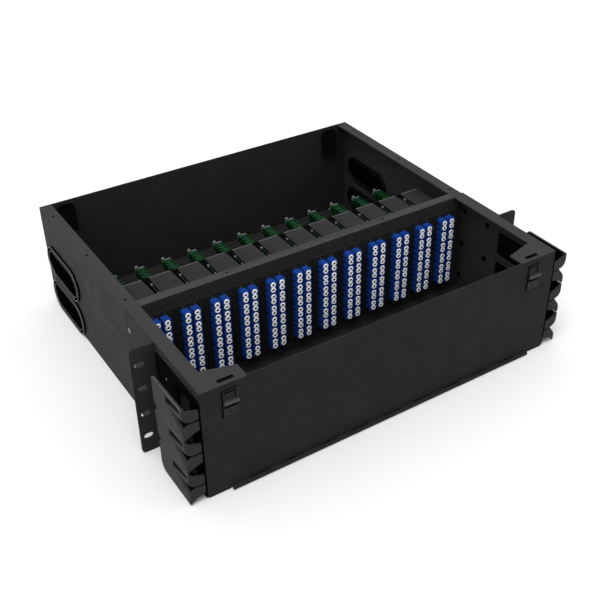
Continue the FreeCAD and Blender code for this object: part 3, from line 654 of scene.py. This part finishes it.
def shell_mesh(low, high):
    """Cassette case: face plate, tapered body and sloped rear, with painted shade on its faces that don't
    look up and a pale line of painted highlight on its rear edge.
    """
    face_y = low.y
    floor_z = low.z + faceplate_overlap
    top_z = high.z - faceplate_overlap
    rear_y = face_y + housing_length
    plate_half = (high.x - low.x) / 2
    half = housing_width / 2
    half_gap = plate_half - case_gap / 2
    half_rear = housing_rear_width / 2
    taper_y = face_y + taper_from_face
    taper_end = taper_from_face + taper_length
    half_top_end = half_rear + (half_gap - half_rear) * (taper_end - top_length) / taper_length
    slope = (top_z - floor_z - housing_rear_height) / (housing_length - rear_wall - top_length)
    # Cross-sections from the face plate to the rear: distance along Y, half width and top
    stations = [
        (face_y + faceplate_thickness, half, top_z),
        (face_y + case_gap_start, half, top_z),
        (face_y + case_gap_start, half_gap, top_z),
        (taper_y, half_gap, top_z),
        (face_y + top_length, half_top_end, top_z),
        (taper_y + taper_length, half_rear, top_z - slope * (taper_end - top_length)),
        (rear_y - rear_wall, half_rear, floor_z + housing_rear_height),
        (rear_y, half_rear, floor_z + housing_rear_height),
    ]
    mesh = bmesh.new()
    rings = [[mesh.verts.new((-w, y, floor_z)), mesh.verts.new((w, y, floor_z)),
              mesh.verts.new((w, y, top)), mesh.verts.new((-w, y, top))] for y, w, top in stations]
    for near, far in zip(rings, rings[1:]):
        for step in range(4):
            after = (step + 1) % 4
            mesh.faces.new((near[step], near[after], far[after], far[step]))
    mesh.faces.new(rings[0])
    mesh.faces.new(rings[-1])
    bmesh.ops.remove_doubles(mesh, verts=mesh.verts, dist=same_point)
    bmesh.ops.dissolve_degenerate(mesh, edges=mesh.edges, dist=same_point)
    round_sharp(mesh, case_edge)
    bmesh.ops.recalc_face_normals(mesh, faces=mesh.faces)
    # Faces that don't look up get case_shade: painted shade on the flanks and rear slope.
    for face in mesh.faces:
        if face.normal.z < least_upward:
            face.material_index = 1
    plate = bmesh.new()
    add_block(plate, (-plate_half, face_y, low.z), (plate_half, face_y + faceplate_thickness, high.z))
    round_sharp(plate, faceplate_edge, 1)
    join_into(mesh, plate, 2)
    # A pale line along the rear edge of the top: a painted highlight.
    line_half = half_top_end - edge_line_inset
    top_end = face_y + top_length
    line = bmesh.new()
    add_block(line, (-line_half, top_end - edge_line_start, top_z - edge_line_depth),
              (line_half, top_end - edge_line_end, top_z + edge_line_height))
    join_into(mesh, line, 3)
    return finish_mesh(mesh, "cassette_shell", case_black, case_shade, face_black, edge_grey)


def lever_mesh(low, high):
    """Release lever along the left flank of one cassette, with pale blocks of painted highlight and its teal
    rod.
    """
    face_y = low.y
    flank = case_gap / 2 - (high.x - low.x) / 2
    strip_low = high.z - faceplate_overlap - lever_drop
    glint_low = strip_low + glint_lift
    rod_low = strip_low + rod_lift
    mesh = bmesh.new()
    add_block(mesh, (flank + lever_sides[0], face_y + lever_run[0], strip_low),
              (flank + lever_sides[1], face_y + lever_run[1], strip_low + lever_thickness))
    for start, end, height in lever_glints:
        glint = bmesh.new()
        add_block(glint, (flank + glint_sides[0], face_y + start, glint_low),
                  (flank + glint_sides[1], face_y + end, glint_low + height))
        join_into(mesh, glint, 1)
    rod = bmesh.new()
    add_block(rod, (flank + rod_sides[0], face_y + rod_run[0], rod_low),
              (flank + rod_sides[1], face_y + rod_run[1], rod_low + rod_thickness))
    join_into(mesh, rod, 2)
    return finish_mesh(mesh, "release_lever", case_shade, edge_grey, lever_teal)


def mark_mesh(low, high):
    """Two small slanted ticks printed over the adapter columns of one face plate."""
    middle = high.z - tick_from_top
    mesh = bmesh.new()
    for x in tick_places:
        made = add_block(mesh, (x - tick_half_width, low.y - tick_proud, middle - tick_half_height),
                         (x + tick_half_width, low.y + tick_sunk, middle + tick_half_height))
        for vert in made:
            vert.co.x += (middle - vert.co.z) * tick_slant
    return finish_mesh(mesh, "column_ticks", mark_grey)


def mpo_mesh(rear_y, top_z):
    """Multi-fibre adapters behind one cassette: dark bodies with green collars and a keyway."""
    inset = 0.6 * MM
    key_half = 2.4 * MM
    key_foot = 0.8 * MM
    key_top = 0.2 * MM
    key_start = rear_y + 3.0 * MM
    edge = 0.25 * MM
    left = mpo_offset_x - mpo_width / 2
    right = mpo_offset_x + mpo_width / 2
    end = rear_y + mpo_length
    mesh = bmesh.new()
    bodies = bmesh.new()
    for place in range(mpo_count):
        high = top_z - mpo_spacing * place
        low = high - mpo_height
        add_block(bodies, (left + inset, rear_y, low + inset), (right - inset, end, high - inset))
        for start, length in mpo_collars:
            add_block(mesh, (left, rear_y + start, low), (right, rear_y + start + length, high))
        add_block(mesh, (mpo_offset_x - key_half, key_start, high - key_foot),
                  (mpo_offset_x + key_half, end, high - key_top))
    round_sharp(mesh, edge)
    round_sharp(bodies, edge)
    join_into(mesh, bodies, 1)
    return finish_mesh(mesh, "multi_fibre_adapters", mpo_green, mpo_shade)


def mpo_cap_mesh(rear_y, top_z):
    """End caps of the multi-fibre adapters: stepped plug, a pale line along the rim that is a painted
    highlight, and a grey pull tab at the left.
    """
    step = 0.8 * MM
    step_length = 1.2 * MM
    plug_edge = 0.25 * MM
    tab_width = 3.0 * MM
    tab_length = 2.6 * MM
    tab_foot = 4.2 * MM
    tab_edge = 0.2 * MM
    rim_start = 2.0 * MM
    rim_lengths = (2.2 * MM, 0.5 * MM)
    rim_depth = 0.9 * MM
    rim_proud = 0.1 * MM
    left = mpo_offset_x - mpo_width / 2 + mpo_cap_margin
    right = mpo_offset_x + mpo_width / 2 - mpo_cap_margin
    start = rear_y + mpo_length
    end = start + mpo_cap_length
    plugs = bmesh.new()
    pale = bmesh.new()
    for place in range(mpo_count):
        top = top_z - mpo_spacing * place
        high = top - mpo_cap_margin
        low = top - mpo_height + mpo_cap_margin
        add_block(plugs, (left, start, low), (right, end - step_length, high))
        add_block(plugs, (left + step, start, low + step), (right - step, end, high - step))
        add_block(pale, (left, end - tab_length, high - tab_foot),
                  (left + tab_width, end, high + mpo_tab_height))
        # The pale line along the rim is a painted highlight.
        add_block(pale, (left + rim_start, end - rim_lengths[0], high - rim_depth),
                  (right, end - rim_lengths[1], high + rim_proud))
    round_sharp(plugs, plug_edge)
    round_sharp(pale, tab_edge)
    join_into(plugs, pale, 1)
    return finish_mesh(plugs, "multi_fibre_caps", mpo_green, tab_grey)


def screw_places():
    """Where the ear screws sit: each distance from the front and each height."""
    low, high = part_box("ear_screws")
    rows = (low.z + screw_radius, (low.z + high.z) / 2, high.z - screw_radius)
    return [(y, z) for y in (low.y + screw_radius, high.y - screw_radius) for z in rows]


def screw_mesh():
    """Pan head screws of both ears, with a round recess, on their real places."""
    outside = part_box("ear_screws")[1].x
    segments = 24
    mesh = bmesh.new()
    for y, z in screw_places():
        for side in (-1, 1):
            add_turned(mesh, in_metres(screw_profile), Vector((side * outside, y, z)), segments,
                       heading=Vector((-side, 0, 0)))
    return finish_mesh(mesh, "ear_screw_heads", screw_steel)


def hole_shade_mesh():
    """Black discs in the screw holes, on the inner faces of the side walls: painted shade that makes the
    holes look dark.
    """
    inner_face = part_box("right_side_wall")[1].x - sheet_thickness
    proud = 0.3 * MM
    shade_face = inner_face - proud
    segments = 24
    mesh = bmesh.new()
    for y, z in screw_places():
        for side in (-1, 1):
            add_turned(mesh, in_metres(hole_shade_profile), Vector((side * shade_face, y, z)), segments,
                       heading=Vector((side, 0, 0)))
    return finish_mesh(mesh, "wall_plugs", deep_black)


def rivet_mesh():
    """Bright rivets that hold each guide to the wall, one behind each horn."""
    proud = 0.7 * MM
    from_front = 65.5 * MM
    lift = 2.0 * MM
    segments = 16
    mesh = bmesh.new()
    for centre in guide_centres:
        for side in (-1, 1):
            place = Vector((side * (guide_base_face + proud), front_y + from_front, centre + lift))
            add_turned(mesh, in_metres(rivet_profile), place, segments, heading=Vector((-side, 0, 0)))
    return finish_mesh(mesh, "guide_rivets", screw_steel)


def guide_bead_mesh():
    """Bead on the top edge and front corner of each fin, in a light grey that is a painted highlight."""
    bead = 0.38 * MM
    corner_drop = 11.0 * MM
    sunk = 0.4 * MM
    under_top = 0.25 * MM
    last_angle = 10
    steps = 8
    start = front_y + sunk
    turn_y = front_y + guide_length - guide_top_radius
    radius = guide_top_radius - under_top
    mesh = bmesh.new()
    for centre in guide_centres:
        top = centre + guide_half_height - under_top
        for side in (-1, 1):
            x = side * (guide_outside - sunk)
            points = [Vector((x, start, top - corner_drop)), Vector((x, start, top))]
            for step in range(steps + 1):
                angle = math.radians(90 + (last_angle - 90) * step / steps)
                y = turn_y + radius * math.cos(angle)
                points.append(Vector((x, y, top - radius + radius * math.sin(angle))))
            add_bead(mesh, points, bead, Vector((1, 0, 0)))
    return finish_mesh(mesh, "guide_beads", guide_edge)


def slot_backing_mesh():
    """Thin webs behind the slots in the fins of the cable guides, in deep black that is painted shade."""
    gap = 0.1 * MM
    thickness = 0.5 * MM
    start = front_y + 2.4 * MM
    end = front_y + 33.0 * MM
    bottom = 5.5 * MM
    top = 17.2 * MM
    face = guide_outside - guide_wall - gap
    mesh = bmesh.new()
    for centre in guide_centres:
        for side in (-1, 1):
            x0, x1 = sorted((side * (face - thickness), side * face))
            add_block(mesh, (x0, start, centre + bottom), (x1, end, centre + top))
    return finish_mesh(mesh, "slot_backings", deep_black)


def edge_seal_mesh():
    """Black seal strips on the front edges of the side walls, beside the front door."""
    seal_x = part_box("right_side_wall")[1].x + seal_gap
    seal_y = front_y + seal_gap
    low, high = seal_heights
    mesh = bmesh.new()
    for side in (-1, 1):
        x0, x1 = sorted((side * seal_x, side * (seal_x + seal_width)))
        add_block(mesh, (x0, seal_y, low), (x1, seal_y + seal_depth, high))
    return finish_mesh(mesh, "edge_seals", deep_black)


def oval_path(x, middle_y, middle_z, length, height, steps=14):
    """Outline with round ends in an upright plane."""
    radius = height / 2
    reach = length / 2 - radius
    points = []
    for side in (1, -1):
        for step in range(steps + 1):
            angle = math.pi * (step / steps - 0.5)
            points.append(Vector((x, middle_y + side * (reach + radius * math.cos(angle)),
                                  middle_z + side * radius * math.sin(angle))))
    return points


def port_bead_mesh():
    """Light beads on the port grommets: two on the outer face and three faint ones on the inner face."""
    low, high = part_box("port_rims")
    height = high.z - low.z - port_pitch
    length = high.y - low.y
    middle_y = (low.y + high.y) / 2
    inner_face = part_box("right_side_wall")[1].x - sheet_thickness
    outer = bmesh.new()
    inner = bmesh.new()
    for level in range(port_levels):
        z = low.z + height / 2 + port_pitch * level
        for side in (-1, 1):
            face = side * high.x
            for inset, radius in outer_beads:
                path = oval_path(face, middle_y, z, length - 2 * inset, height - 2 * inset)
                add_bead(outer, path, radius, Vector((1, 0, 0)), True)
            for inset, radius in inner_beads:
                path = oval_path(side * inner_face, middle_y, z, length - 2 * inset, height - 2 * inset)
                add_bead(inner, path, radius, Vector((1, 0, 0)), True)
    join_into(outer, inner, 1)
    return finish_mesh(outer, "port_beads", rim_grey, step_grey)


def latch_slider_mesh():
    """Latch slider seen from its door's outer face: scooped thumb grip, wide ledge in a lighter colour that
    is a painted highlight, and bolt plate, with painted shade in deep black under the ledge and on the bolt
    plate.
    """
    grip_edge = 0.2 * MM
    ledge_edge = 0.25 * MM
    plate_edge = 0.3 * MM
    grip = bmesh.new()
    add_bar(grip, in_metres(grip_outline), grip_half_width)
    round_sharp(grip, grip_edge, 1, outline_angle)
    ledge = bmesh.new()
    add_bar(ledge, in_metres(ledge_outline), ledge_half_width)
    for vert in ledge.verts:
        vert.co.x += ledge_shift
    round_sharp(ledge, ledge_edge, 2, outline_angle)
    # A deep black block under the ledge is painted shade.
    shade = bmesh.new()
    add_block(shade, *in_metres(under_ledge))
    join_into(grip, shade, 2)
    # The bolt plate's deep black is painted shade in the slot above it.
    plate = bmesh.new()
    add_block(plate, *in_metres(bolt_plate))
    round_sharp(plate, plate_edge, 1)
    join_into(grip, ledge, 1)
    join_into(grip, plate, 2)
    return finish_mesh(grip, "latch_slider", latch_black, latch_ledge, deep_black)


def latch_gap_mesh():
    """Painted shade of one latch case: black blocks in the gaps at its left, top and under the ledge, and
    black sheets behind the door.
    """
    proud = 0.08 * MM
    sunk = 0.3 * MM
    face = -bezel_face - proud
    back = -bezel_face + sunk
    mesh = bmesh.new()
    for left, bottom, right, top in in_metres(latch_gaps):
        add_block(mesh, (left, face, bottom), (right, back, top))
    for start, end in latch_shade_sheets:
        shade_sheet = ((-shade_sheet_half_width, start, shade_sheet_heights[0]), (shade_sheet_half_width, end, shade_sheet_heights[1]))
        add_block(mesh, *in_metres(shade_sheet))
    return finish_mesh(mesh, "latch_gaps", deep_black)


def slot_shade_mesh():
    """Black liners on the walls of the latch slots in the corner gussets: painted shade inside the slots."""
    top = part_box("front_corner_gussets")[1].z
    lower_margin = 0.05 * MM
    upper_margin = 0.03 * MM
    thick = 0.2 * MM
    low = top - sheet_thickness + lower_margin
    high = top - upper_margin
    y0 = front_y + bolt_depth - latch_slot_width / 2
    y1 = front_y + bolt_depth + latch_slot_width / 2
    mesh = bmesh.new()
    for middle in (-latch_x, latch_x):
        x0 = middle - latch_slot_length / 2
        x1 = middle + latch_slot_length / 2
        add_block(mesh, (x0, y1 - thick, low), (x1, y1, high))
        add_block(mesh, (x0, y0, low), (x1, y0 + thick, high))
        add_block(mesh, (x0, y0 + thick, low), (x0 + thick, y1 - thick, high))
        add_block(mesh, (x1 - thick, y0 + thick, low), (x1, y1 - thick, high))
    return finish_mesh(mesh, "slot_liners", deep_black)


def dress_cad():
    """Finishes of the CAD pieces that stay in the scene."""
    dress("chassis_floor", floor_black)
    for name in ("left_side_wall", "right_side_wall", "front_corner_gussets"):
        dress(name, sheet_black, join_flats=True)
    dress("bulkhead_frame", frame_black)
    for name in ("left_rack_ear", "right_rack_ear"):
        dress(name, ear_black)
    for name in ("front_door", "front_hinge_leaf", "rear_hinge_leaf"):
        dress(name, door_black)
    dress("rear_door", rear_black)
    for name in ("front_hinge_pin", "rear_hinge_pin"):
        dress(name, screw_steel, pin_edge)
    for name in ("left_cable_guide", "right_cable_guide"):
        dress(name, guide_black, guide_fin_edge)
    dress("front_latch_housings", latch_black, latch_edge)
    dress("rear_latch_housings", case_shade, latch_edge)
    dress("port_rims", deep_black, grommet_edge)


def make_screws():
    """Screw heads with a recess, in place of the plain ear screws."""
    heads = place_piece("ear_screw_heads", screw_mesh(), (0, 0, 0), "chassis")
    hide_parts("ear_screws")


def make_trim():
    """Small trim of the chassis."""
    trim = (
        ("wall_plugs", hole_shade_mesh(), "black_plastic"),
        ("guide_rivets", rivet_mesh(), "zinc_steel"),
        ("guide_beads", guide_bead_mesh(), "black_plastic"),
        ("slot_backings", slot_backing_mesh(), "black_plastic"),
        ("slot_liners", slot_shade_mesh(), "black_plastic"),
        ("edge_seals", edge_seal_mesh(), "black_plastic"),
        ("port_beads", port_bead_mesh(), "grey_plastic"),
    )
    for name, data, slot in trim:
        place_piece(name, data, (0, 0, 0), "chassis")


def make_latches():
    """Sliders and shadow gaps of the four latches."""
    slider = latch_slider_mesh()
    gaps = latch_gap_mesh()
    for end, y, turn in (("front", front_y, 0.0), ("rear", rear_face_y, math.pi)):
        for hand, x in (("left", -latch_x), ("right", latch_x)):
            name = end + "_" + hand + "_latch"
            place = (x, y, 0)
            piece = place_piece(name + "_thumb_slide", slider, place, name, turn)
            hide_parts(name + "_slider")
            place_piece(name + "_gaps", gaps, place, end + "_door", turn)


def make_cassettes():
    """Dresses the twelve cassettes with shared meshes."""
    first = cassette_names[0]
    case_low, case_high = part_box(first + "_case")
    caps_low, caps_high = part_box(first + "_dust_caps")
    blue_low, blue_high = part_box(first + "_adapters")
    rear_y = case_low.y + housing_length
    mpo_top = case_low.z + faceplate_overlap + housing_rear_height - mpo_drop
    middle = (caps_low.x + caps_high.x) / 2
    half_face = min(middle - case_low.x, case_high.x - middle)
    shift = Vector((middle, 0, 0))
    shell_low = Vector((-half_face, case_low.y, case_low.z))
    shell_high = Vector((half_face, case_high.y, case_high.z))
    pieces = [
        ("_shell", shell_mesh(shell_low, shell_high), "cassette_plastic", "_case"),
        ("_caps", cap_mesh(caps_low - shift, caps_high - shift), "white_plastic", "_dust_caps"),
        ("_duplex", adapter_mesh(blue_low - shift, blue_high - shift, caps_low.y), "blue_plastic",
         "_adapters"),
        ("_mpo", mpo_mesh(rear_y, mpo_top), "cassette_plastic", None),
        ("_mpo_caps", mpo_cap_mesh(rear_y, mpo_top), "cassette_plastic", None),
        ("_lever", lever_mesh(shell_low, shell_high), "cassette_plastic", None),
        ("_ticks", mark_mesh(shell_low, shell_high), "cassette_plastic", None),
    ]
    for name in cassette_names:
        low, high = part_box(name + "_dust_caps")
        place = ((low.x + high.x) / 2, 0, 0)
        for ending, data, slot, stands_for in pieces:
            piece = place_piece(name + ending, data, place, name)
            if stands_for is not None:
                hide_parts(name + stands_for)


def make_floor():
    """Plain white floor under the chassis."""
    mesh = bmesh.new()
    bmesh.ops.create_grid(mesh, x_segments=1, y_segments=1, size=floor_size / 2)
    data = bpy.data.meshes.new("floor")
    mesh.to_mesh(data)
    mesh.free()
    floor = bpy.data.objects.new("floor", data)
    floor.location = (0, 0, cad_low.z)
    bpy.context.scene.collection.objects.link(floor)
    material, tree, shader = node_tree("floor_white")
    rays = tree.nodes.new("ShaderNodeLightPath")
    seen = reckon(tree, "MAXIMUM", rays.outputs["Is Camera Ray"], rays.outputs["Is Glossy Ray"])
    shade = tint(tree, seen, (floor_bounce,) * 3, (floor_seen,) * 3)
    tree.links.new(shade, shader.inputs["Base Color"])
    shader.inputs["Roughness"].default_value = floor_roughness
    shader.inputs["Specular IOR Level"].default_value = 0.0
    data.materials.append(material)


def make_light():
    """Soft white surroundings and one broad light from the upper left."""
    world = bpy.data.worlds.new("studio")
    bpy.context.scene.world = world
    world.use_nodes = True
    background = world.node_tree.nodes["Background"]
    background.inputs["Color"].default_value = (1, 1, 1, 1)
    background.inputs["Strength"].default_value = sky_level
    lamp = bpy.data.lights.new("key_light", "SUN")
    lamp.energy = sun_level
    lamp.angle = sun_softness
    key = bpy.data.objects.new("key_light", lamp)
    key.rotation_mode = "QUATERNION"
    key.rotation_quaternion = sun_from.to_track_quat("Z", "Y")
    bpy.context.scene.collection.objects.link(key)


def make_camera():
    """Camera at the photograph's place, angle and framing."""
    data = bpy.data.cameras.new("camera")
    data.sensor_width = sensor_width
    data.lens = focal_pixels / picture_pixels * sensor_width
    data.shift_x = (picture_pixels / 2 - centre_pixel_x) / picture_pixels
    data.shift_y = (centre_pixel_y - picture_pixels / 2) / picture_pixels
    data.clip_end = view_depth
    camera = bpy.data.objects.new("camera", data)
    flat = math.cos(camera_elevation)
    back = Vector((math.sin(camera_azimuth) * flat, -math.cos(camera_azimuth) * flat,
                   math.sin(camera_elevation)))
    camera.location = camera_place
    camera.rotation_mode = "QUATERNION"
    camera.rotation_quaternion = (-back).to_track_quat("-Z", "Y")
    bpy.context.scene.collection.objects.link(camera)
    bpy.context.scene.camera = camera


dress_cad()
make_screws()
make_trim()
make_latches()
make_cassettes()
make_floor()
make_light()
make_camera()
bpy.context.scene.view_settings.view_transform = "Standard"
